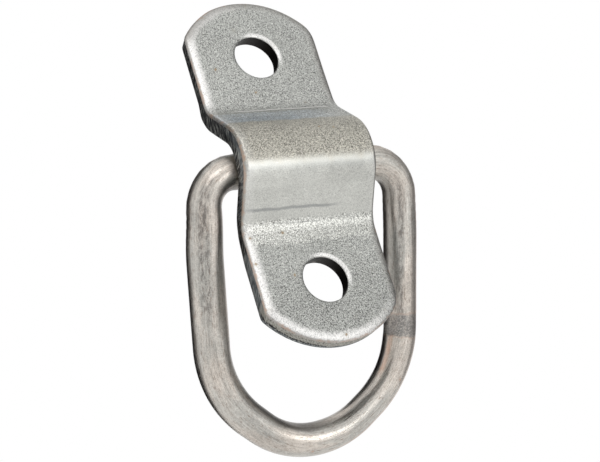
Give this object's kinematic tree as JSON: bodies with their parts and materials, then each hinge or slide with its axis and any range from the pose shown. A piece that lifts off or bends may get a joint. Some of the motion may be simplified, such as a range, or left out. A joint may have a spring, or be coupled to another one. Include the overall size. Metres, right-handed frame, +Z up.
{
  "type": "bolt on d ring tie down",
  "caption": "Pressed steel saddle strap that bolts down over the bar of a welded D-shaped rod ring, an anchor for straps and hooks.",
  "frame": {"origin": "on the mounting face, midway between the centres of the two bolt holes", "axes": "+X across the strap to the right, +Z up along it, +Y into the surface it is bolted to; the hump and the strap's front look towards -Y"},
  "size_m": [0.09, 0.07, 0.1561],
  "materials": {
    "zinc_strap": "zinc plated, fine grained, satin",
    "zinc_rod": "zinc plated drawn rod, smooth with fine streaks"
  },
  "bodies": {
    "strap": {"bracket": "zinc_strap"},
    "ring": {"d_ring": "zinc_rod"}
  },
  "joints": [
    {"name": "ring_swing", "type": "hinge", "parent": "strap", "child": "ring", "pos_m": [0.0028, -0.00832, -0.00202], "axis": [-1, 0, 0], "continuous": true}
  ]
}
